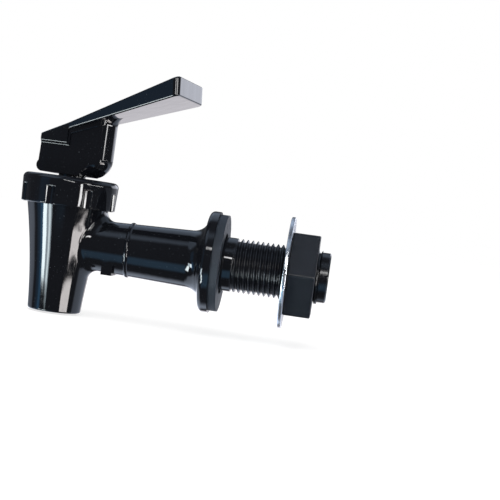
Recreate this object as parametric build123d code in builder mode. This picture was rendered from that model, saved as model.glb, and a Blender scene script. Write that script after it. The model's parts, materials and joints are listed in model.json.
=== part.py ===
from build123d import *
import os
from math import cos, radians, sin, sqrt, tan

# A lever-operated beverage dispenser spigot, in millimetres.
# +X runs along the shank towards its free end and +Z up along the barrel.
# The origin is on the shank's axis, at the flange's seating face.

# Shank, which goes through the container's wall
shank_diameter = 16.0
plain_length = 5.0
thread_length = 26.2
thread_pitch = 1.5
thread_depth = 0.92
thread_crest = 0.25
thread_root = 0.25
tip_diameter = 14.8
tip_length = 2.6
tip_chamfer = 0.4
inlet_diameter = 10.0

# Flange and neck
flange_diameter = 30.0
flange_thickness = 3.0
flange_edge_radius = 1.3
flare_radius = 4.8
flare_share = 0.96
neck_flange_diameter = 17.3
neck_draft = 2.0
ring_place = 25.5
ring_rise = 0.4
ring_radius = 0.8
lug_place = 30.7
lug_width = 3.2
lug_span = 12.4
lug_top = 4.0
lug_drop = 8.0

# Barrel
barrel_reach = 45.9
barrel_top_diameter = 24.0
barrel_middle_diameter = 18.5
barrel_middle_drop = 5.8
outlet_outer_diameter = 15.7
outlet_drop = 20.9
outlet_bore_diameter = 12.6
outlet_bore_length = 9.5
outlet_edge_radius = 0.5
junction_radius = 3.0
rim_height = 15.6
bonnet_pitch = 2.4
bonnet_groove_depth = 0.5
bonnet_groove_width = 1.2
bonnet_grooves = 2

# Valve chamber and seat
chamber_wall = 2.1
chamber_floor_drop = 7.4
seat_bore_diameter = 8.4
seat_lip_width = 1.2
seat_lip_height = 1.6
seat_throat_length = 2.0

# Bonnet cap
cap_bottom_height = 10.4
cap_height = 8.6
cap_diameter = 28.4
cap_draft = 2.5
cap_edge_radius = 1.5
cap_skirt_edge_radius = 0.4
cap_bore_clearance = 0.15
cap_groove_depth = 0.35
flute_count = 8
flute_radius = 1.6
flute_depth = 0.85
flute_top_margin = 1.7
flute_first_angle = -145.5
boss_diameter = 8.0
boss_height = 0.7

# Soft cup, which closes the valve
cup_flange_thickness = 1.2
cup_flange_inset = 0.8
cup_wall = 0.9
cup_hub_diameter = 11.2
cup_hub_height = 4.0
cup_waist_clearance = 0.6
cup_top_clearance = 0.6

# Stem with its two trunnions
stem_diameter = 5.0
stem_hole_clearance = 0.2
stem_flat_thickness = 3.0
stem_flat_margin = 1.5
barb_diameter = 4.6
barb_height = 2.0
barb_neck_diameter = 3.2
barb_neck_height = 1.1
barb_clearance = 0.05
trunnion_diameter = 3.2
trunnion_span = 7.8
trunnion_clearance = 0.05
trunnion_height = 5.0

# Closing spring
spring_wire = 0.8
spring_radius = 3.9
spring_turns = 7
spring_seat_gap = 0.05

# Lever
lever_swivel = -10.8
lever_tilt_range = 22.0
lever_back = 9.1
lever_back_flare = 0.3
lever_front = 11.9
lever_back_height = 11.25
lever_shoulder_height = 9.05
lever_shoulder_bevel = 0.7
lever_shoulder_edge_radius = 0.3
lever_shoulder_length = 8.35
lever_body_width = 9.5
lever_heel_radius = 1.9
lever_heel_bulge = 0.4
lever_toe_radius = 5.7
lever_sole_cut = 0.2
lever_nose_flat = 0.1
lever_web_radius = 3.2
lever_band_width = 10.3
lever_band_drop = 1.6
lever_band_set_back = 1.1
lever_band_corner_radius = 3.5
lever_band_edge_radius = 0.25
lever_slot_clearance = 0.2
lever_swing_clearance = 0.3
lever_swing_margin = 1.0
paddle_top_slope = 25.8
paddle_under_slope = 20.3
paddle_under_start = 13.25
paddle_reach = 33.7
paddle_end_lean = 5.0
paddle_back_width = 11.2
paddle_tip_width = 24.0
paddle_corner_radius = 1.6
paddle_edge_radius = 0.5

# Mounting hardware on the shank
gasket_diameter = 28.6
gasket_bore_diameter = 18.0
gasket_thickness = 2.5
washer_diameter = 33.0
washer_bore_diameter = 18.3
washer_thickness = 1.2
washer_edge_radius = 0.3
nut_across_flats = 24.0
nut_thickness = 8.0
nut_bore_clearance = 0.1
nut_mouth_diameter = 20.0
nut_corner_radius = 0.8
nut_edge_radius = 0.4
nut_rest_place = 22.0

# Places that follow from the sizes above
shank_radius = shank_diameter / 2
shank_length = plain_length + thread_length + tip_length
barrel_x = -barrel_reach
inlet_end_x = barrel_x + cup_hub_diameter / 2
chamber_radius = barrel_top_diameter / 2 - chamber_wall
chamber_floor_radius = barrel_middle_diameter / 2 - chamber_wall
seat_radius = seat_bore_diameter / 2
cap_bore_radius = barrel_top_diameter / 2 + cap_bore_clearance
cap_top = cap_bottom_height + cap_height
cup_flange_top = rim_height + cup_flange_thickness
lever_bottom = cap_top + boss_height
trunnion_z = lever_bottom + trunnion_height
seat_z = seat_lip_height - chamber_floor_drop
hub_top = seat_z + cup_hub_height
cup_waist_z = inlet_diameter / 2 + cup_waist_clearance
stem_flat_half_width = sqrt(stem_diameter**2 - stem_flat_thickness**2) / 2
shoulder_z = lever_bottom + lever_shoulder_height
back_top_z = lever_bottom + lever_back_height
under_x = lever_shoulder_length - lever_back
under_z = lever_bottom + paddle_under_start

barrel_axis = Axis((barrel_x, 0, 0), (0, 0, 1))
barrel_plane = Plane(origin=(barrel_x, 0, 0), x_dir=(-1, 0, 0), z_dir=(0, 1, 0))
swivel_x = cos(radians(lever_swivel))
swivel_y = sin(radians(lever_swivel))
lever_plane = Plane(origin=(barrel_x, 0, 0), x_dir=(swivel_x, swivel_y, 0), z_dir=(swivel_y, -swivel_x, 0))
lever_plan = Plane(origin=(barrel_x, 0, 0), x_dir=(swivel_x, swivel_y, 0), z_dir=(0, 0, 1))


def corner(sketch, x, y):
    """The sketch's corner that is nearest to a point of its plane."""
    return sketch.vertices().sort_by_distance((x, y, 0))[0]


def neck_radius(x):
    """The neck's radius at a place along the shank's axis."""
    return neck_flange_diameter / 2 + (x + flange_thickness) * tan(radians(neck_draft))


def under_height(x):
    """The height of the paddle's underside at a place along the lever."""
    return under_z + (x - under_x) * tan(radians(paddle_under_slope))


# One moulding: barrel, neck, flange and threaded shank
thread_turns = int(thread_length / thread_pitch)
thread_start = plain_length + (thread_length - thread_turns * thread_pitch + thread_crest) / 2
groove_width = thread_pitch - thread_crest
flange_face_width = flange_diameter / 2 - flange_edge_radius - neck_flange_diameter / 2
flare = min(flare_radius, flare_share * flange_face_width)

with BuildPart() as faucet_body:
    with BuildSketch(Plane.XZ) as tube_section:
        with BuildLine():
            outline = [
                (barrel_x, 0),
                (barrel_x, neck_radius(barrel_x)),
                (-flange_thickness, neck_radius(-flange_thickness)),
                (-flange_thickness, flange_diameter / 2),
                (0, flange_diameter / 2),
                (0, shank_radius),
            ]
            for turn in range(thread_turns):
                groove_x = thread_start + turn * thread_pitch
                groove_middle = groove_x + groove_width / 2
                outline += [
                    (groove_x, shank_radius),
                    (groove_middle - thread_root / 2, shank_radius - thread_depth),
                    (groove_middle + thread_root / 2, shank_radius - thread_depth),
                    (groove_x + groove_width, shank_radius),
                ]
            outline += [
                (plain_length + thread_length, shank_radius),
                (plain_length + thread_length, tip_diameter / 2),
                (shank_length, tip_diameter / 2),
                (shank_length, 0),
            ]
            Polyline(*outline, close=True)
        make_face()
        fillet(corner(tube_section, -flange_thickness, neck_radius(-flange_thickness)), flare)
        fillet(corner(tube_section, -flange_thickness, flange_diameter / 2), flange_edge_radius)
        chamfer(corner(tube_section, shank_length, tip_diameter / 2), tip_chamfer)
    revolve(axis=Axis.X)

    with BuildSketch(barrel_plane) as barrel_section:
        with BuildLine():
            ThreePointArc(
                (outlet_outer_diameter / 2, -outlet_drop),
                (barrel_middle_diameter / 2, -barrel_middle_drop),
                (barrel_top_diameter / 2, cap_bottom_height),
            )
            Polyline(
                (barrel_top_diameter / 2, cap_bottom_height),
                (barrel_top_diameter / 2, rim_height),
                (0, rim_height),
                (0, -outlet_drop),
                (outlet_outer_diameter / 2, -outlet_drop),
            )
        make_face()
        fillet(corner(barrel_section, outlet_outer_diameter / 2, -outlet_drop), outlet_edge_radius)
    revolve(axis=barrel_axis)
    fillet(faucet_body.edges().filter_by(GeomType.BSPLINE), junction_radius)

    with BuildSketch(Plane.XZ):
        with Locations((-ring_place, neck_radius(-ring_place) + ring_rise - ring_radius)):
            Circle(ring_radius)
    revolve(axis=Axis.X)
    with BuildSketch(Plane.XY.offset(-lug_drop)):
        with Locations((-lug_place, 0)):
            Rectangle(lug_width, lug_span)
    extrude(amount=lug_drop - lug_top)

    with BuildSketch(barrel_plane):
        with BuildLine():
            Polyline(
                (0, rim_height),
                (chamber_radius, rim_height),
                (chamber_radius, cap_bottom_height),
                (chamber_floor_radius, -barrel_middle_drop),
                (chamber_floor_radius, -chamber_floor_drop),
                (seat_radius + seat_lip_width, -chamber_floor_drop),
                (seat_radius + seat_lip_width, seat_z),
                (seat_radius, seat_z),
                (seat_radius, seat_z - seat_throat_length),
                (outlet_bore_diameter / 2, outlet_bore_length - outlet_drop),
                (outlet_bore_diameter / 2, -outlet_drop),
                (0, -outlet_drop),
                close=True,
            )
        make_face()
    revolve(axis=barrel_axis, mode=Mode.SUBTRACT)
    with BuildSketch(Plane.YZ.offset(shank_length)):
        Circle(inlet_diameter / 2)
    extrude(amount=inlet_end_x - shank_length, mode=Mode.SUBTRACT)
    with BuildSketch(barrel_plane):
        for groove in range(bonnet_grooves):
            groove_z = rim_height - (groove + 0.5) * bonnet_pitch
            with Locations((barrel_top_diameter / 2, groove_z)):
                Rectangle(2 * bonnet_groove_depth, bonnet_groove_width)
    revolve(axis=barrel_axis, mode=Mode.SUBTRACT)
faucet_body.part.label = "faucet_body"
export_step(faucet_body.part, "parts/faucet_body.step")

# Bonnet cap: screwed over the barrel's head, with finger flutes and a hole for the stem
cap_radius = cap_diameter / 2
stem_hole_radius = stem_diameter / 2 + stem_hole_clearance
skirt_radius = cap_radius - cap_height * tan(radians(cap_draft))
flute_middle_radius = (cap_radius + skirt_radius) / 2 - flute_depth + flute_radius
flute_height = cap_height - flute_top_margin - flute_radius

with BuildPart() as bonnet_cap:
    with BuildSketch(barrel_plane) as cap_section:
        with BuildLine():
            Polyline(
                (cap_bore_radius, cap_bottom_height),
                (skirt_radius, cap_bottom_height),
                (cap_radius, cap_top),
                (boss_diameter / 2, cap_top),
                (boss_diameter / 2, lever_bottom),
                (stem_hole_radius, lever_bottom),
                (stem_hole_radius, cup_flange_top),
                (cap_bore_radius, cup_flange_top),
                close=True,
            )
        make_face()
        for groove in range(bonnet_grooves):
            groove_z = rim_height - (groove + 0.5) * bonnet_pitch
            with Locations((cap_bore_radius, groove_z)):
                Rectangle(2 * cap_groove_depth, bonnet_groove_width, mode=Mode.SUBTRACT)
        fillet(corner(cap_section, cap_radius, cap_top), cap_edge_radius)
        fillet(corner(cap_section, skirt_radius, cap_bottom_height), cap_skirt_edge_radius)
    revolve(axis=barrel_axis)
    with Locations((barrel_x, 0, cap_bottom_height)):
        with PolarLocations(flute_middle_radius, flute_count, flute_first_angle):
            Cylinder(
                flute_radius,
                flute_height,
                align=(Align.CENTER, Align.CENTER, Align.MIN),
                mode=Mode.SUBTRACT,
            )
    with Locations((barrel_x, 0, cap_bottom_height + flute_height)):
        with PolarLocations(flute_middle_radius, flute_count, flute_first_angle):
            Sphere(flute_radius, mode=Mode.SUBTRACT)
bonnet_cap.part.label = "bonnet_cap"
export_step(bonnet_cap.part, "parts/bonnet_cap.step")

# Soft cup: clamped at its flange, and pulled off the valve's lip by the stem
cup_flange_radius = barrel_top_diameter / 2 - cup_flange_inset
cup_top_radius = chamber_radius - cup_top_clearance
hub_radius = cup_hub_diameter / 2
barb_radius = barb_diameter / 2 + barb_clearance
barb_neck_radius = barb_neck_diameter / 2 + barb_clearance
barb_top = hub_top - barb_neck_height

with BuildPart() as seat_cup:
    with BuildSketch(barrel_plane):
        with BuildLine():
            Polyline(
                (0, seat_z),
                (hub_radius, seat_z),
                (hub_radius, cup_waist_z),
                (cup_top_radius, rim_height),
                (cup_flange_radius, rim_height),
                (cup_flange_radius, cup_flange_top),
                (cup_top_radius - cup_wall, cup_flange_top),
                (cup_top_radius - cup_wall, rim_height),
                (hub_radius - cup_wall, cup_waist_z),
                (hub_radius - cup_wall, hub_top),
                (barb_neck_radius, hub_top),
                (barb_neck_radius, barb_top + barb_clearance),
                (barb_radius, barb_top + barb_clearance),
                (barb_radius, barb_top - barb_height - barb_clearance),
                (0, barb_top - barb_height - barb_clearance),
                close=True,
            )
        make_face()
    revolve(axis=barrel_axis)
seat_cup.part.label = "seat_cup"
export_step(seat_cup.part, "parts/seat_cup.step")

# Stem: a barb below, a round shaft through the cap, two flats and a pair of trunnions above
stem_radius = stem_diameter / 2
flat_start = lever_bottom - stem_flat_margin

with BuildPart() as valve_stem:
    with BuildSketch(barrel_plane):
        with BuildLine():
            Polyline(
                (0, barb_top - barb_height),
                (barb_neck_diameter / 2, barb_top - barb_height),
                (barb_diameter / 2, barb_top - barb_height / 2),
                (barb_diameter / 2, barb_top),
                (barb_neck_diameter / 2, barb_top),
                (barb_neck_diameter / 2, hub_top),
                (stem_radius, hub_top),
                (stem_radius, flat_start),
                (0, flat_start),
                close=True,
            )
        make_face()
    revolve(axis=barrel_axis)
    with BuildSketch(lever_plane):
        with Locations((0, (flat_start + trunnion_z) / 2)):
            Rectangle(2 * stem_flat_half_width, trunnion_z - flat_start)
        with Locations((0, trunnion_z)):
            Circle(stem_flat_half_width)
    extrude(amount=stem_flat_thickness / 2, both=True)
    with BuildSketch(lever_plane):
        with Locations((0, trunnion_z)):
            Circle(trunnion_diameter / 2)
    extrude(amount=trunnion_span / 2, both=True)
valve_stem.part.label = "valve_stem"
export_step(valve_stem.part, "parts/valve_stem.step")

# Closing spring: between the cap and the cup's hub
spring_bottom = hub_top + spring_wire / 2 + spring_seat_gap
spring_top = cup_flange_top - spring_wire / 2 - spring_seat_gap
spring_height = spring_top - spring_bottom

with BuildPart() as closing_spring:
    with BuildLine() as coil:
        Helix(spring_height / spring_turns, spring_height, spring_radius, center=(barrel_x, 0, spring_bottom))
    with BuildSketch(Plane(origin=coil.line @ 0, z_dir=coil.line % 0)):
        Circle(spring_wire / 2)
    sweep(is_frenet=True)
closing_spring.part.label = "closing_spring"
export_step(closing_spring.part, "parts/closing_spring.step")

# Lever: a paddle that flares towards its end, over a narrow body that rocks on the cap's boss
tip_under_z = under_height(paddle_reach)
top_at_reach = back_top_z + (paddle_reach + lever_back) * tan(radians(paddle_top_slope))
lean = radians(paddle_end_lean)
end_height = (top_at_reach - tip_under_z) / (cos(lean) + sin(lean) * tan(radians(paddle_top_slope)))
tip_top_x = paddle_reach - end_height * sin(lean)
tip_top_z = tip_under_z + end_height * cos(lean)
front_under_z = under_height(lever_front)
band_start_x = under_x + lever_shoulder_bevel
band_end_x = lever_front - lever_band_set_back
body_end_x = paddle_reach / 2
sole_z = lever_bottom - lever_sole_cut
nose_radius = (lever_body_width - lever_nose_flat) / 2
heel_x = lever_back + lever_back_flare
swing = radians(lever_tilt_range + lever_swing_margin)
slot_radius = stem_flat_half_width + lever_swing_clearance
slot_half_width = stem_flat_thickness / 2 + lever_slot_clearance
slot_right_x = (trunnion_height + slot_radius * sin(swing)) * tan(swing) + slot_radius * cos(swing)

with BuildPart() as lever_handle:
    with BuildSketch(lever_plane):
        with BuildLine():
            Polyline(
                (-lever_back, shoulder_z),
                (-lever_back, back_top_z),
                (tip_top_x, tip_top_z),
                (paddle_reach, tip_under_z),
                (under_x, under_z),
                (under_x, shoulder_z),
                close=True,
            )
        make_face()
    extrude(amount=paddle_tip_width, both=True)
    with BuildSketch(lever_plan.offset(lever_bottom)):
        with BuildLine():
            Polyline(
                (-lever_back, -paddle_back_width / 2),
                (under_x, -paddle_back_width / 2),
                (paddle_reach, -paddle_tip_width / 2),
                (paddle_reach, paddle_tip_width / 2),
                (under_x, paddle_back_width / 2),
                (-lever_back, paddle_back_width / 2),
                close=True,
            )
        make_face()
    extrude(amount=tip_top_z, mode=Mode.INTERSECT)
    tip_face = lever_handle.faces().sort_by(Axis((0, 0, 0), lever_plane.x_dir))[-1]
    tip_sides = tip_face.edges().filter_by(Axis((0, 0, 0), lever_plane.z_dir), reverse=True)
    fillet(tip_sides, paddle_corner_radius)
    broad_faces = lever_handle.faces().sort_by(SortBy.AREA)[-2:]
    fillet(broad_faces.edges(), paddle_edge_radius)
    shoulder = lever_handle.faces().filter_by(Axis.Z).sort_by(Axis.Z)[0]
    fillet(shoulder.edges().filter_by(Axis((0, 0, 0), lever_plane.x_dir)), lever_shoulder_edge_radius)

    with BuildSketch(lever_plane) as body_section:
        with BuildLine():
            Polyline(
                (-lever_back, back_top_z),
                (-heel_x, sole_z),
                (lever_front, sole_z),
                (lever_front, front_under_z),
                (body_end_x, under_height(body_end_x)),
                (paddle_reach, tip_top_z),
                (-lever_back, tip_top_z),
                close=True,
            )
        make_face()
        fillet(corner(body_section, lever_front, front_under_z), lever_web_radius)
        fillet(corner(body_section, lever_front, sole_z), lever_toe_radius)
        with Locations((0, lever_bottom - lever_sole_cut / 2)):
            Rectangle(2 * paddle_reach, lever_sole_cut, mode=Mode.SUBTRACT)
        fillet(corner(body_section, -heel_x, lever_bottom), lever_heel_radius)
        with Locations((lever_heel_radius - heel_x - lever_heel_bulge, lever_bottom + lever_heel_radius)):
            Circle(lever_heel_radius)
    body = extrude(amount=lever_body_width / 2, both=True, mode=Mode.PRIVATE)
    web_edges = body.edges().filter_by(Axis.Z).sort_by(Axis((0, 0, 0), lever_plane.x_dir))[-2:]
    with BuildSketch(lever_plane):
        with BuildLine():
            Polyline(
                (-lever_back, back_top_z),
                (body_end_x, under_height(body_end_x)),
                (paddle_reach, tip_top_z),
                (-lever_back, tip_top_z),
                close=True,
            )
        make_face()
    above_body = extrude(amount=paddle_tip_width / 2, both=True, mode=Mode.PRIVATE)
    add(body.fillet(nose_radius, web_edges) - above_body)

    with BuildSketch(lever_plane):
        with BuildLine():
            Polyline(
                (-lever_back, shoulder_z - lever_shoulder_bevel),
                (band_start_x, shoulder_z - lever_shoulder_bevel),
                (band_start_x, under_height(band_start_x) - lever_band_drop),
                (band_end_x, under_height(band_end_x) - lever_band_drop),
                (band_end_x, under_height(band_end_x)),
                (-lever_back, back_top_z),
                close=True,
            )
        make_face()
    band = extrude(amount=lever_band_width / 2, both=True, mode=Mode.PRIVATE)
    with BuildSketch(lever_plan.offset(lever_bottom)) as band_plan:
        with Locations(((band_end_x - lever_back) / 2, 0)):
            Rectangle(band_end_x + lever_back, lever_band_width)
        front_corners = band_plan.vertices().sort_by(Axis((0, 0, 0), lever_plane.x_dir))[-2:]
        fillet(front_corners, lever_band_corner_radius)
    band = band & extrude(amount=tip_top_z, mode=Mode.PRIVATE)
    under_faces = band.faces().filter_by(lambda face: face.normal_at().Z < -sin(radians(paddle_under_slope)))
    lower_edges = under_faces.edges().filter_by(Axis((0, 0, 0), lever_plane.z_dir), reverse=True)
    add(band.fillet(lever_band_edge_radius, lower_edges))

    with BuildSketch(lever_plane):
        with Locations((0, trunnion_z)):
            Circle(slot_radius)
        with BuildLine():
            Polyline(
                (-slot_radius, trunnion_z),
                (-slot_radius, lever_bottom),
                (slot_right_x, lever_bottom),
                (slot_radius * cos(swing), trunnion_z + slot_radius * sin(swing)),
                (0, trunnion_z),
                close=True,
            )
        make_face()
    extrude(amount=slot_half_width, both=True, mode=Mode.SUBTRACT)
    with BuildSketch(lever_plane):
        with Locations((0, trunnion_z)):
            Circle(trunnion_diameter / 2 + trunnion_clearance)
    extrude(amount=trunnion_span / 2 + lever_slot_clearance, both=True, mode=Mode.SUBTRACT)
lever_handle.part.label = "lever_handle"
export_step(lever_handle.part, "parts/lever_handle.step")

# Gasket, washer and nut: the hardware that clamps the container's wall against the flange
with BuildPart() as rubber_gasket:
    with BuildSketch(Plane.YZ):
        Circle(gasket_diameter / 2)
        Circle(gasket_bore_diameter / 2, mode=Mode.SUBTRACT)
    extrude(amount=gasket_thickness)
rubber_gasket.part.label = "rubber_gasket"
export_step(rubber_gasket.part, "parts/rubber_gasket.step")

with BuildPart() as metal_washer:
    with BuildSketch(Plane.YZ.offset(nut_rest_place - washer_thickness)):
        Circle(washer_diameter / 2)
        Circle(washer_bore_diameter / 2, mode=Mode.SUBTRACT)
    extrude(amount=washer_thickness)
    fillet(metal_washer.edges().filter_by(GeomType.CIRCLE), washer_edge_radius)
metal_washer.part.label = "metal_washer"
export_step(metal_washer.part, "parts/metal_washer.step")

nut_bore_radius = shank_diameter / 2 + nut_bore_clearance

with BuildPart() as lock_nut:
    with BuildSketch(Plane.YZ.offset(nut_rest_place)) as nut_outline:
        RegularPolygon(nut_across_flats / 2, 6, major_radius=False)
        fillet(nut_outline.vertices(), nut_corner_radius)
    extrude(amount=nut_thickness)
    nut_faces = lock_nut.faces().filter_by(Axis.X)
    fillet(nut_faces.edges(), nut_edge_radius)
    with BuildSketch(Plane.YZ.offset(nut_rest_place)):
        Circle(nut_bore_radius)
    extrude(amount=nut_thickness, mode=Mode.SUBTRACT)
    bore_mouths = lock_nut.faces().filter_by(GeomType.CYLINDER).sort_by(SortBy.AREA)[-1].edges()
    chamfer(bore_mouths.filter_by(GeomType.CIRCLE), nut_mouth_diameter / 2 - nut_bore_radius)
lock_nut.part.label = "lock_nut"
export_step(lock_nut.part, "parts/lock_nut.step")
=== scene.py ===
import json
from math import atan2, cos, hypot, pi, radians, sin, tan

import bmesh
import bpy
from mathutils import Matrix, Vector
from mathutils.kdtree import KDTree


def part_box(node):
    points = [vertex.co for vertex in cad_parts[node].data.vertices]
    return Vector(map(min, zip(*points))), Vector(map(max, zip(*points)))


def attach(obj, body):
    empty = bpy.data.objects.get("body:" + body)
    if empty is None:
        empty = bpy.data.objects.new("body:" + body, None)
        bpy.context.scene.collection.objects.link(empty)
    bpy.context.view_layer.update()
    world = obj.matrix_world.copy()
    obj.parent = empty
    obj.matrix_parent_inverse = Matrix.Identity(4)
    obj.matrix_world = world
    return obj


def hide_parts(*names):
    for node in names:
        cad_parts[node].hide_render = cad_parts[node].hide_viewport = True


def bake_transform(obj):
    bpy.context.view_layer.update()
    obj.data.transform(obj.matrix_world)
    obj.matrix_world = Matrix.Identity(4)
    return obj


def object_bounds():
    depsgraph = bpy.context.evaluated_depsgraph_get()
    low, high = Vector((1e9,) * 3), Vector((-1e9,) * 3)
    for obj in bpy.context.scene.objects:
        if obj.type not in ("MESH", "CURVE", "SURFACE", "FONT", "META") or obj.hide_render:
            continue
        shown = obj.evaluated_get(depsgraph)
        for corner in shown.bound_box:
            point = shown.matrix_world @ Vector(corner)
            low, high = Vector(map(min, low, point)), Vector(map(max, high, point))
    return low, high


# The looks of a beverage dispenser spigot, in metres.
# +X runs along the shank towards its free end and +Z up along the barrel.
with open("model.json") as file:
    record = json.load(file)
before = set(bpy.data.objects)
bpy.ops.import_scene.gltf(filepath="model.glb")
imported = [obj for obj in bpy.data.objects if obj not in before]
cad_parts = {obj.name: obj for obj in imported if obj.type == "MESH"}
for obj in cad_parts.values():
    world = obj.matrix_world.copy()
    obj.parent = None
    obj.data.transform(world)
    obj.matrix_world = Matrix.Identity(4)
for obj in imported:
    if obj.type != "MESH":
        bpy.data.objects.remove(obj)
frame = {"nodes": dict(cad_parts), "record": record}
cad_low, cad_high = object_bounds()

# Camera: it looks at the spigot's side, turned about its line of sight as the photograph is
camera_azimuth = radians(4.0)
camera_elevation = radians(1.4)
camera_roll = radians(8.0)
camera_distance = 0.345
camera_target = Vector((0.00975, 0, 0.0051))
camera_lens = 84.24
sensor_width = 36.0
clip_reach = 100


def direction(azimuth, elevation):
    """A unit vector that points from the object to a place round it; azimuth 0 is towards -Y."""
    return Vector((sin(azimuth) * cos(elevation), -cos(azimuth) * cos(elevation), sin(elevation)))


def add_camera():
    """The camera, turned about its own line of sight as the photograph is."""
    back = direction(camera_azimuth, camera_elevation)
    right = Vector((cos(camera_azimuth), sin(camera_azimuth), 0))
    up = back.cross(right)
    data = bpy.data.cameras.new("camera")
    data.lens = camera_lens
    data.sensor_width = sensor_width
    data.clip_start = camera_distance / clip_reach
    data.clip_end = camera_distance * clip_reach
    camera = bpy.data.objects.new("camera", data)
    bpy.context.scene.collection.objects.link(camera)
    across = cos(camera_roll) * right + sin(camera_roll) * up
    upward = cos(camera_roll) * up - sin(camera_roll) * right
    turn = Matrix((across, upward, back)).transposed().to_4x4()
    camera.matrix_world = Matrix.Translation(camera_target + back * camera_distance) @ turn
    bpy.context.scene.camera = camera


# Node helpers; a Mix node's sockets go by number, because the colours share their names with other kinds
mix_factor = 0
mix_first = 6
mix_second = 7
mix_result = 2


def new_material(name):
    """An empty material with a Principled shader; returns (material, nodes, links, shader)."""
    material = bpy.data.materials.new(name)
    material.use_nodes = True
    nodes = material.node_tree.nodes
    links = material.node_tree.links
    return material, nodes, links, nodes["Principled BSDF"]


def add_node(nodes, kind, **values):
    """A node of that kind; its settings and inputs are set by name, with underscores for spaces."""
    node = nodes.new(kind)
    for name, value in values.items():
        if hasattr(node, name):
            setattr(node, name, value)
        else:
            node.inputs[name.replace("_", " ")].default_value = value
    return node


def feed(links, socket, value):
    """Gives an input either another node's output or a value of its own."""
    if hasattr(value, "links"):
        links.new(value, socket)
    else:
        socket.default_value = value


def object_place(nodes):
    """Object coordinates, which are metres in the frame's own axes."""
    return nodes.new("ShaderNodeTexCoord").outputs["Object"]


def stretch(nodes, links, place, factors):
    """A place with each axis scaled, so that a pattern runs longer along the axes with small factors."""
    node = add_node(nodes, "ShaderNodeVectorMath", operation="MULTIPLY")
    links.new(place, node.inputs[0])
    node.inputs[1].default_value = factors
    return node.outputs[0]


def ramp(nodes, links, source, given, wanted):
    """source, taken from a given range to a wanted one."""
    node = add_node(
        nodes, "ShaderNodeMapRange",
        From_Min=given[0], From_Max=given[1], To_Min=wanted[0], To_Max=wanted[1],
    )
    links.new(source, node.inputs["Value"])
    return node.outputs["Result"]


def mix_colour(nodes, links, factor, first, second):
    """A mix of two colours, each a socket or a value, by a factor socket."""
    node = add_node(nodes, "ShaderNodeMix", data_type="RGBA")
    links.new(factor, node.inputs[mix_factor])
    feed(links, node.inputs[mix_first], first)
    feed(links, node.inputs[mix_second], second)
    return node.outputs[mix_result]


def noise(nodes, links, place, scale, detail, roughness=0.5):
    """A noise texture."""
    node = add_node(nodes, "ShaderNodeTexNoise", Scale=scale, Detail=detail, Roughness=roughness)
    links.new(place, node.inputs["Vector"])
    return node.outputs["Fac"]


def rounded_edges(nodes, radius, samples):
    """The normal of a surface with its edges rounded."""
    return add_node(nodes, "ShaderNodeBevel", Radius=radius, samples=samples).outputs["Normal"]


def bump(nodes, links, height, distance, strength, before=None):
    """A bump of a height socket, on top of another normal; distance is its depth in metres."""
    node = add_node(nodes, "ShaderNodeBump", Distance=distance, Strength=strength)
    links.new(height, node.inputs["Height"])
    if before is not None:
        links.new(before, node.inputs["Normal"])
    return node.outputs["Normal"]


def add_up(nodes, links, first, second):
    """The sum of two colours."""
    node = add_node(nodes, "ShaderNodeVectorMath", operation="ADD")
    feed(links, node.inputs[0], first)
    feed(links, node.inputs[1], second)
    return node.outputs[0]


def along(nodes, links, place, axis):
    """The part of a direction that lies along an axis."""
    node = add_node(nodes, "ShaderNodeVectorMath", operation="DOT_PRODUCT")
    links.new(place, node.inputs[0])
    node.inputs[1].default_value = axis
    return node.outputs["Value"]


def calculate(nodes, links, operation, first, second):
    """Arithmetic on two values, each a socket or a number."""
    node = add_node(nodes, "ShaderNodeMath", operation=operation)
    feed(links, node.inputs[0], first)
    feed(links, node.inputs[1], second)
    return node.outputs[0]


# Materials; colours are linear, and patterns are drawn in metres
cap_edge_radius = 0.0003
nut_edge_radius = 0.0004
gasket_edge_radius = 0.0003
washer_edge_radius = 0.0002
dull_border = 0.0002


def gloss_plastic(name, edge_radius=0):
    """Polished black moulding: sink waves, a little dust, fine rub marks and dull threads.

    Its edges are rounded where it is given a radius for them.
    """
    material, nodes, links, shader = new_material(name)
    place = object_place(nodes)
    cloud = noise(nodes, links, place, scale=90, detail=3)
    colour = mix_colour(nodes, links, cloud, (0.005, 0.0056, 0.0078, 1), (0.0078, 0.0086, 0.0115, 1))
    dust = noise(nodes, links, place, scale=2600, detail=1)
    speck = ramp(nodes, links, dust, (0.74, 0.8), (0, 1))
    dusty = mix_colour(nodes, links, speck, colour, (0.12, 0.14, 0.16, 1))
    links.new(dusty, shader.inputs["Base Color"])
    rub = noise(nodes, links, place, scale=700, detail=4, roughness=0.6)
    polish = ramp(nodes, links, rub, (0.35, 0.75), (0.03, 0.075))
    axes = nodes.new("ShaderNodeSeparateXYZ")
    links.new(place, axes.inputs[0])
    border = (thread_from - dull_border, thread_from + dull_border)
    dull = ramp(nodes, links, axes.outputs["X"], border, (0, 0.16))
    links.new(calculate(nodes, links, "ADD", polish, dull), shader.inputs["Roughness"])
    edges = rounded_edges(nodes, edge_radius, samples=16) if edge_radius else None
    wave = noise(nodes, links, stretch(nodes, links, place, (1, 1, 0.35)), scale=260, detail=1)
    waved = bump(nodes, links, wave, distance=0.00012, strength=0.4, before=edges)
    skin = noise(nodes, links, place, scale=2500, detail=2)
    surface = bump(nodes, links, skin, distance=0.000004, strength=0.25, before=waved)
    links.new(surface, shader.inputs["Normal"])
    shader.inputs["IOR"].default_value = 1.5
    return material


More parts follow.
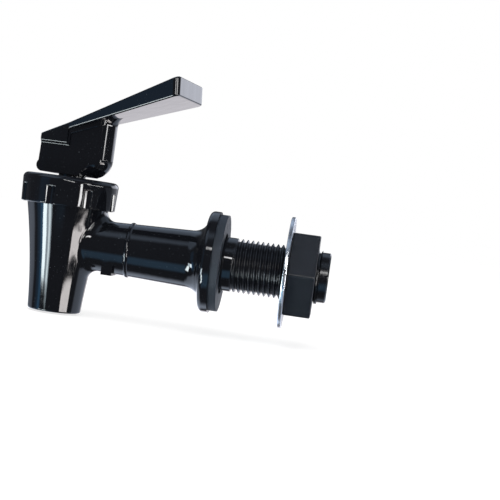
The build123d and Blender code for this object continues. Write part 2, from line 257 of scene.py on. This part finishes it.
def satin_plastic():
    """Satin black moulding of the nut, with a fine even grain."""
    material, nodes, links, shader = new_material("satin_black")
    place = object_place(nodes)
    cloud = noise(nodes, links, place, scale=250, detail=4)
    colour = mix_colour(nodes, links, cloud, (0.006, 0.007, 0.010, 1), (0.011, 0.0125, 0.017, 1))
    links.new(colour, shader.inputs["Base Color"])
    grain = noise(nodes, links, place, scale=3000, detail=3)
    links.new(ramp(nodes, links, grain, (0.3, 0.7), (0.3, 0.42)), shader.inputs["Roughness"])
    edges = rounded_edges(nodes, nut_edge_radius, samples=8)
    surface = bump(nodes, links, grain, distance=0.00001, strength=0.35, before=edges)
    links.new(surface, shader.inputs["Normal"])
    return material


def gasket_rubber():
    """Matte blue-black rubber with pale rub marks and a speckled skin."""
    material, nodes, links, shader = new_material("gasket_rubber")
    place = object_place(nodes)
    cloud = noise(nodes, links, place, scale=300, detail=5)
    colour = mix_colour(nodes, links, cloud, (0.016, 0.021, 0.030, 1), (0.026, 0.035, 0.048, 1))
    drawn = stretch(nodes, links, place, (1, 0.2, 1))
    rub = noise(nodes, links, drawn, scale=900, detail=4, roughness=0.65)
    mark = ramp(nodes, links, rub, (0.62, 0.74), (0, 0.55))
    marked = mix_colour(nodes, links, mark, colour, (0.08, 0.095, 0.115, 1))
    links.new(marked, shader.inputs["Base Color"])
    links.new(ramp(nodes, links, cloud, (0.3, 0.7), (0.5, 0.65)), shader.inputs["Roughness"])
    edges = rounded_edges(nodes, gasket_edge_radius, samples=8)
    grain = noise(nodes, links, place, scale=4000, detail=2)
    surface = bump(nodes, links, grain, distance=0.00002, strength=0.4, before=edges)
    links.new(surface, shader.inputs["Normal"])
    return material


def washer_steel():
    """Bright stamped washer: clouded plating, straight rolling marks, a fine grain and a rounded rim."""
    material, nodes, links, shader = new_material("washer_steel")
    place = object_place(nodes)
    cloud = noise(nodes, links, place, scale=180, detail=4)
    colour = mix_colour(nodes, links, cloud, (0.66, 0.68, 0.71, 1), (0.82, 0.83, 0.85, 1))
    rolled = stretch(nodes, links, place, (1, 1, 0.03))
    lines = noise(nodes, links, rolled, scale=2600, detail=3, roughness=0.7)
    streak = ramp(nodes, links, lines, (0.35, 0.7), (0, 0.5))
    streaked = mix_colour(nodes, links, streak, colour, (0.5, 0.52, 0.56, 1))
    links.new(streaked, shader.inputs["Base Color"])
    shader.inputs["Metallic"].default_value = 1.0
    links.new(ramp(nodes, links, cloud, (0.3, 0.7), (0.2, 0.36)), shader.inputs["Roughness"])
    edges = rounded_edges(nodes, washer_edge_radius, samples=12)
    marks = bump(nodes, links, lines, distance=0.000006, strength=0.35, before=edges)
    grain = noise(nodes, links, place, scale=1800, detail=4)
    surface = bump(nodes, links, grain, distance=0.000008, strength=0.3, before=marks)
    links.new(surface, shader.inputs["Normal"])
    return material


def spring_steel():
    """Drawn spring wire."""
    material, nodes, links, shader = new_material("spring_steel")
    cloud = noise(nodes, links, object_place(nodes), scale=900, detail=3)
    colour = mix_colour(nodes, links, cloud, (0.42, 0.42, 0.43, 1), (0.6, 0.6, 0.61, 1))
    links.new(colour, shader.inputs["Base Color"])
    shader.inputs["Metallic"].default_value = 1.0
    links.new(ramp(nodes, links, cloud, (0.3, 0.7), (0.2, 0.35)), shader.inputs["Roughness"])
    return material


def silicone():
    """Soft milky silicone of the valve cup."""
    material, nodes, links, shader = new_material("silicone")
    cloud = noise(nodes, links, object_place(nodes), scale=200, detail=3)
    colour = mix_colour(nodes, links, cloud, (0.7, 0.69, 0.65, 1), (0.78, 0.77, 0.74, 1))
    links.new(colour, shader.inputs["Base Color"])
    links.new(ramp(nodes, links, cloud, (0.3, 0.7), (0.35, 0.5)), shader.inputs["Roughness"])
    shader.inputs["Subsurface Weight"].default_value = 0.25
    shader.inputs["Subsurface Scale"].default_value = 0.001
    return material


def dress_nodes():
    """Every CAD node gets the material of its slot; the cap's also rounds the rims of its flutes."""
    for entry in frame["record"]["subparts"]:
        node = frame["nodes"][entry["node"]]
        node.data.materials.clear()
        node.data.materials.append(materials[entry["material_slot"]])
    frame["nodes"]["bonnet_cap"].data.materials[0] = gloss_plastic("gloss_black_cap", cap_edge_radius)


# Threads: the CAD nodes carry rings or a plain bore, and these pieces carry the true right-hand helix
shank_radius = 0.008
thread_from = 0.005475
thread_to = 0.0312
thread_pitch = 0.0015
thread_depth = 0.00092
nut_bore_radius = 0.0081
nut_mouth_depth = 0.0019
thread_fade = 0.4 * thread_pitch
spare_turns = 2
same_place = 2e-6

# A corner with this normal takes the smooth one of its vertex
no_normal = Vector((0, 0, 0))

# One turn of the thread: each point's share of the pitch and of the depth
thread_profile = [
    (0.0, 0.0), (0.1, 0.0), (0.15, 0.07), (0.45, 0.93),
    (0.5, 1.0), (0.6, 1.0), (0.65, 0.93), (0.95, 0.07),
]


def smooth_step(value):
    """0 below 0, 1 above 1, and a soft S between them."""
    value = min(max(value, 0.0), 1.0)
    return value * value * (3 - 2 * value)


class Hull:
    """Points and faces that grow into one mesh; a point is made the first time that its key is used."""

    def __init__(self):
        self.numbers = {}
        self.points = []
        self.faces = []

    def point(self, key, place):
        """The number of the point with that key."""
        if key not in self.numbers:
            self.numbers[key] = len(self.points)
            self.points.append(tuple(place))
        return self.numbers[key]


def first_copies(mesh):
    """For each vertex, the number of the first vertex at its place."""
    tree = KDTree(len(mesh.vertices))
    for vertex in mesh.vertices:
        tree.insert(vertex.co, vertex.index)
    tree.balance()
    return [min(found[1] for found in tree.find_range(vertex.co, same_place)) for vertex in mesh.vertices]


def keep_faces(hull, mesh, replaced):
    """Copies the faces that aren't replaced, with their seams closed; returns their corners' normals."""
    first_at = first_copies(mesh)
    corner_normals = [Vector(normal.vector) for normal in mesh.corner_normals]
    kept = []
    for polygon in mesh.polygons:
        if replaced(polygon.center):
            continue
        numbers = [hull.point(first_at[v], mesh.vertices[first_at[v]].co) for v in polygon.vertices]
        if len(set(numbers)) == len(numbers):
            hull.faces.append(numbers)
            kept += [corner_normals[loop] for loop in polygon.loop_indices]
    return kept


def ring_at(hull, x, radius):
    """The points on a circle round the shank's axis, as (angle, number) in order of their angle."""
    found = []
    for number, (px, py, pz) in enumerate(hull.points):
        if abs(px - x) < same_place and abs(hypot(py, pz) - radius) < same_place:
            found.append((atan2(pz, py) % (2 * pi), number))
    return sorted(found)


def add_helix(hull, radius, depth, low_x, high_x):
    """The faces of a helical thread, from the ring at its low end to the one at its high end."""
    low_ring = ring_at(hull, low_x, radius)
    high_ring = ring_at(hull, high_x, radius)
    angles = [angle for angle, number in low_ring]
    columns = len(angles)
    rows_per_turn = len(thread_profile)
    turns = int((high_x - low_x) / thread_pitch)

    def thread_point(row, column):
        """The number of a point, by its row along the whole thread and its column round the axis."""
        if column == columns:
            row, column = row + rows_per_turn, 0
        turn, step = divmod(row, rows_per_turn)
        phase, share = thread_profile[step]
        x = low_x + thread_pitch * (turn + phase + angles[column] / (2 * pi))
        if x <= low_x + same_place:
            return low_ring[column][1]
        if x >= high_x - same_place:
            return high_ring[column][1]
        ends = smooth_step((x - low_x) / thread_fade) * smooth_step((high_x - x) / thread_fade)
        r = radius + depth * share * ends
        return hull.point((row, column), (x, r * cos(angles[column]), r * sin(angles[column])))

    for row in range(-spare_turns * rows_per_turn, (turns + spare_turns) * rows_per_turn):
        for column in range(columns):
            numbers = []
            for r, c in ((row, column), (row, column + 1), (row + 1, column + 1), (row + 1, column)):
                number = thread_point(r, c)
                if number not in numbers:
                    numbers.append(number)
            if len(numbers) > 2:
                hull.faces.append(numbers if depth < 0 else numbers[::-1])


def add_threaded(name, node, body, slot, radius, depth, low_x, high_x):
    """A piece that stands for a node, with a helical thread between two rings on the shank's axis.

    It keeps the rest of the node's mesh. The thread is cut from the radius by the depth, towards the
    axis where the depth is below 0, and fades out at both rings.
    """
    inner = radius + min(depth, 0) - abs(depth) / 2
    outer = radius + max(depth, 0) + same_place

    def replaced(place):
        """Whether a face with its middle at a place lies on the stretch that the helix replaces."""
        return low_x + same_place < place.x < high_x - same_place and inner < hypot(place.y, place.z) < outer

    hull = Hull()
    kept_normals = keep_faces(hull, frame["nodes"][node].data, replaced)
    kept_faces = len(hull.faces)
    add_helix(hull, radius, depth, low_x, high_x)
    made = bpy.data.meshes.new(name)
    made.from_pydata(hull.points, [], hull.faces)
    made.update()
    made.shade_smooth()
    helix_corners = sum(len(face) for face in hull.faces[kept_faces:])
    made.normals_split_custom_set(kept_normals + [no_normal] * helix_corners)
    made.materials.append(materials[slot])
    piece = bpy.data.objects.new(name, made)
    bpy.context.scene.collection.objects.link(piece)
    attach(piece, body)
    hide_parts(node)


def add_threads():
    """The threaded body and nut."""
    add_threaded(
        "threaded_body", "faucet_body", "body", "black_plastic",
        shank_radius, -thread_depth, thread_from, thread_to,
    )
    nut_low, nut_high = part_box("lock_nut")
    add_threaded(
        "threaded_nut", "lock_nut", "nut", "nut_plastic",
        nut_bore_radius, thread_depth, nut_low.x + nut_mouth_depth, nut_high.x - nut_mouth_depth,
    )


# Parts that give way: in the spigot the cup's cone and the spring shorten as the lever lifts the stem; here
# each is a copy of its node with the seams closed
seam = 1e-6
smooth_below = radians(40)


def add_giving_part(name, node):
    """A piece for a node, with its seams closed.
    """
    made = frame["nodes"][node].data.copy()
    made.name = name
    shape = bmesh.new()
    shape.from_mesh(made)
    bmesh.ops.remove_doubles(shape, verts=shape.verts, dist=seam)
    shape.to_mesh(made)
    shape.free()
    made.shade_smooth()
    made.set_sharp_from_angle(angle=smooth_below)
    piece = bpy.data.objects.new(name, made)
    bpy.context.scene.collection.objects.link(piece)
    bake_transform(piece)
    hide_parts(node)


def add_valve_parts():
    """The soft cup and the spring."""
    add_giving_part("soft_cup", "seat_cup")
    add_giving_part("wire_spring", "closing_spring")


# Light: windows and faint panels round a dark room, which only reflections see
room_glow = (0.07, 0.075, 0.085)
ambient_light = 0.6
least_ahead = 0.05

white = (1.0, 1.0, 1.0)
cool = (0.88, 0.98, 1.0)
warm = (1.0, 0.95, 0.94)
pale_blue = (0.78, 0.95, 1.05)
deep_blue = (0.25, 0.6, 1.0)
navy = (0.14, 0.52, 1.0)
dusk = (0.75, 0.95, 1.25)
slate = (0.87, 1.0, 1.23)
cool_slate = (0.87, 1.0, 1.25)
rose = (1.0, 0.97, 1.03)
haze = (0.95, 0.98, 1.1)

# Each row: azimuths and elevations in degrees, border in degrees, lean, slope, radiance and colour
windows = [
    # Left: a window with two brighter panes, a bright one under it, and faint blue ones round them
    ((-62.8, -30.2), (-24, -13.8), 0.8, 0.6, 0, 6, pale_blue),
    ((-61.5, -50), (-24, -13.8), 1.0, 0.6, 0, 17, cool),
    ((-42.5, -35), (-24, -13.8), 1.0, 0.6, 0, 9, cool),
    ((-72, -59), (-25, -9), 5, 0.6, 0, 1.3, navy),
    ((-86, -60), (-25, -9), 9, 0.6, 0, 0.5, navy),
    ((-46, -27), (-44, -25), 2, 0, 0, 22, cool),
    ((-64, -40), (-5, 24), 6, 0, 0, 0.3, navy),
    ((-26, 6), (-58, -26), 8, 0, 0, 0.85, deep_blue),
    # Right: the two parts of a low window, and small ones above them
    ((42, 76), (-21.2, -17.3), 0.5, 0.3, 0.06, 13, warm),
    ((35, 69), (-15.2, -12.4), 0.6, 0.3, 0, 13, warm),
    ((52, 95), (-1.6, 0.5), 0.6, 0, 0, 22, white),
    ((36.5, 41), (-8, -2.5), 0.8, 0, 0, 20, white),
    ((52, 59), (1.6, 7), 1.0, 0, 0, 14, white),
    ((40, 62), (11.8, 14.6), 1, 0, 0, 9, white),
    ((-6, 22), (16.5, 23), 1.5, 0, -0.9, 18, white),
    # High up on all sides
    ((-100, -20), (37, 70), 7, 0, 0, 0.75, dusk),
    ((-12, 60), (48, 75), 9, 0, 0, 0.4, dusk),
    ((-182, -128), (26, 70), 10, 0, 0, 0.6, dusk),
    ((80, 160), (20, 70), 10, 0, 0, 0.4, dusk),
    # Behind
    ((-170, -100), (-28, -8), 7, 0, 0, 0.75, slate),
    ((-170, -82), (-72, -28), 8, 0, 0, 1.3, slate),
    ((90, 160), (-50, -6), 8, 0, 0, 0.9, cool_slate),
    ((158, 204), (-30, -4), 6, 0, 0, 1.4, rose),
    ((130, 172), (1, 20), 5, 0, 0, 2.2, haze),
]


def soft_edge(nodes, links, value, edge, blur):
    """1 where a value lies inside an edge on both sides of 0, and 0 outside, over a soft border."""
    size = calculate(nodes, links, "ABSOLUTE", value, 0.0)
    node = add_node(
        nodes, "ShaderNodeMapRange", interpolation_type="SMOOTHSTEP",
        From_Min=edge + blur, From_Max=edge - blur, To_Min=0, To_Max=1,
    )
    links.new(size, node.inputs["Value"])
    return node.outputs["Result"]


def window(nodes, links, place, azimuths, elevations, blur, lean, slope, radiance, colour):
    """The glow of a window between two azimuths and two elevations; its sides lean and its ends slope."""
    azimuth = radians(sum(azimuths) / 2)
    elevation = radians(sum(elevations) / 2)
    middle = direction(azimuth, elevation)
    level = Vector((cos(azimuth), sin(azimuth), 0))
    upright = middle.cross(level)
    width = radians(azimuths[1] - azimuths[0]) * cos(elevation)
    height = radians(elevations[1] - elevations[0])
    side_blur = radians(blur)
    end_blur = min(side_blur, height / 2)
    facing = along(nodes, links, place, middle)
    in_front = calculate(nodes, links, "GREATER_THAN", facing, least_ahead)
    ahead = calculate(nodes, links, "MAXIMUM", facing, least_ahead)
    across = calculate(nodes, links, "DIVIDE", along(nodes, links, place, level - lean * upright), ahead)
    upwards = calculate(nodes, links, "DIVIDE", along(nodes, links, place, upright - slope * level), ahead)
    sides = soft_edge(nodes, links, across, tan(width / 2), tan(side_blur))
    ends = soft_edge(nodes, links, upwards, tan(height / 2), tan(end_blur))
    shape = calculate(nodes, links, "MULTIPLY", calculate(nodes, links, "MULTIPLY", sides, ends), in_front)
    glow = add_node(nodes, "ShaderNodeVectorMath", operation="SCALE")
    glow.inputs[0].default_value = [radiance * value for value in colour]
    links.new(shape, glow.inputs["Scale"])
    return glow.outputs[0]


def mix_shader(nodes, links, factor, first, second):
    """The shader of one node where a factor is 0, and of another where it is 1."""
    node = nodes.new("ShaderNodeMixShader")
    links.new(factor, node.inputs["Fac"])
    links.new(first.outputs[0], node.inputs[1])
    links.new(second.outputs[0], node.inputs[2])
    return node


def add_world():
    """White to the camera, windows and panels to reflections, and even light to the rest."""
    world = bpy.data.worlds.new("studio")
    bpy.context.scene.world = world
    world.use_nodes = True
    nodes = world.node_tree.nodes
    links = world.node_tree.links
    nodes.clear()
    place = nodes.new("ShaderNodeTexCoord").outputs["Generated"]
    glow = room_glow
    for row in windows:
        glow = add_up(nodes, links, glow, window(nodes, links, place, *row))
    reflected = add_node(nodes, "ShaderNodeBackground", Strength=1.0)
    links.new(glow, reflected.inputs["Color"])
    even = add_node(nodes, "ShaderNodeBackground", Color=(1, 1, 1, 1), Strength=ambient_light)
    seen = add_node(nodes, "ShaderNodeBackground", Color=(1, 1, 1, 1), Strength=1.0)
    path = nodes.new("ShaderNodeLightPath")
    unseen = mix_shader(nodes, links, path.outputs["Is Glossy Ray"], even, reflected)
    both = mix_shader(nodes, links, path.outputs["Is Camera Ray"], unseen, seen)
    out = nodes.new("ShaderNodeOutputWorld")
    links.new(both.outputs[0], out.inputs["Surface"])


def add_lamp(name, azimuth, elevation, distance, side, level):
    """A soft square lamp that shows in no reflection; a white surface that faces it gains about its level."""
    data = bpy.data.lights.new(name, "AREA")
    data.shape = "SQUARE"
    data.size = side
    data.energy = level * (pi * distance) ** 2
    light = bpy.data.objects.new(name, data)
    away = direction(radians(azimuth), radians(elevation))
    light.location = away * distance
    light.rotation_mode = "QUATERNION"
    light.rotation_quaternion = away.to_track_quat("Z", "Y")
    light.visible_camera = False
    light.visible_glossy = False
    bpy.context.scene.collection.objects.link(light)


# Floor: pale and just below the spigot; it shows the shadow, and reflections look past it to the panels
floor_gap = 0.0005
floor_half = 3.0
floor_glow = 0.72
floor_colour = (0.5, 0.5, 0.5, 1)


def add_floor():
    """A floor as white as the background, which keeps the shadow and hides nothing from below."""
    z = cad_low.z - floor_gap
    corners = [(x * floor_half, y * floor_half, z) for x, y in ((-1, -1), (1, -1), (1, 1), (-1, 1))]
    mesh = bpy.data.meshes.new("floor")
    mesh.from_pydata(corners, [], [(0, 1, 2, 3)])
    floor = bpy.data.objects.new("floor", mesh)
    bpy.context.scene.collection.objects.link(floor)
    floor.visible_glossy = False
    floor.visible_shadow = False
    material = bpy.data.materials.new("floor_white")
    material.use_nodes = True
    nodes = material.node_tree.nodes
    links = material.node_tree.links
    nodes.clear()
    lit = add_node(nodes, "ShaderNodeBsdfDiffuse", Color=floor_colour)
    glow = add_node(nodes, "ShaderNodeEmission", Color=(1, 1, 1, 1), Strength=floor_glow)
    both = nodes.new("ShaderNodeAddShader")
    links.new(lit.outputs[0], both.inputs[0])
    links.new(glow.outputs[0], both.inputs[1])
    path = nodes.new("ShaderNodeLightPath")
    above = mix_shader(nodes, links, path.outputs["Is Camera Ray"], lit, both)
    side = nodes.new("ShaderNodeNewGeometry")
    clear = nodes.new("ShaderNodeBsdfTransparent")
    one_sided = mix_shader(nodes, links, side.outputs["Backfacing"], above, clear)
    out = nodes.new("ShaderNodeOutputMaterial")
    links.new(one_sided.outputs[0], out.inputs["Surface"])
    mesh.materials.append(material)


# The spigot, its light, floor and camera
materials = {
    "black_plastic": gloss_plastic("gloss_black"),
    "nut_plastic": satin_plastic(),
    "gasket_rubber": gasket_rubber(),
    "washer_steel": washer_steel(),
    "spring_steel": spring_steel(),
    "silicone": silicone(),
}

bpy.context.scene.view_settings.view_transform = "Standard"
dress_nodes()
add_threads()
add_valve_parts()
add_world()
add_lamp("overhead_lamp", azimuth=-15, elevation=60, distance=0.8, side=0.8, level=0.45)
add_floor()
add_camera()
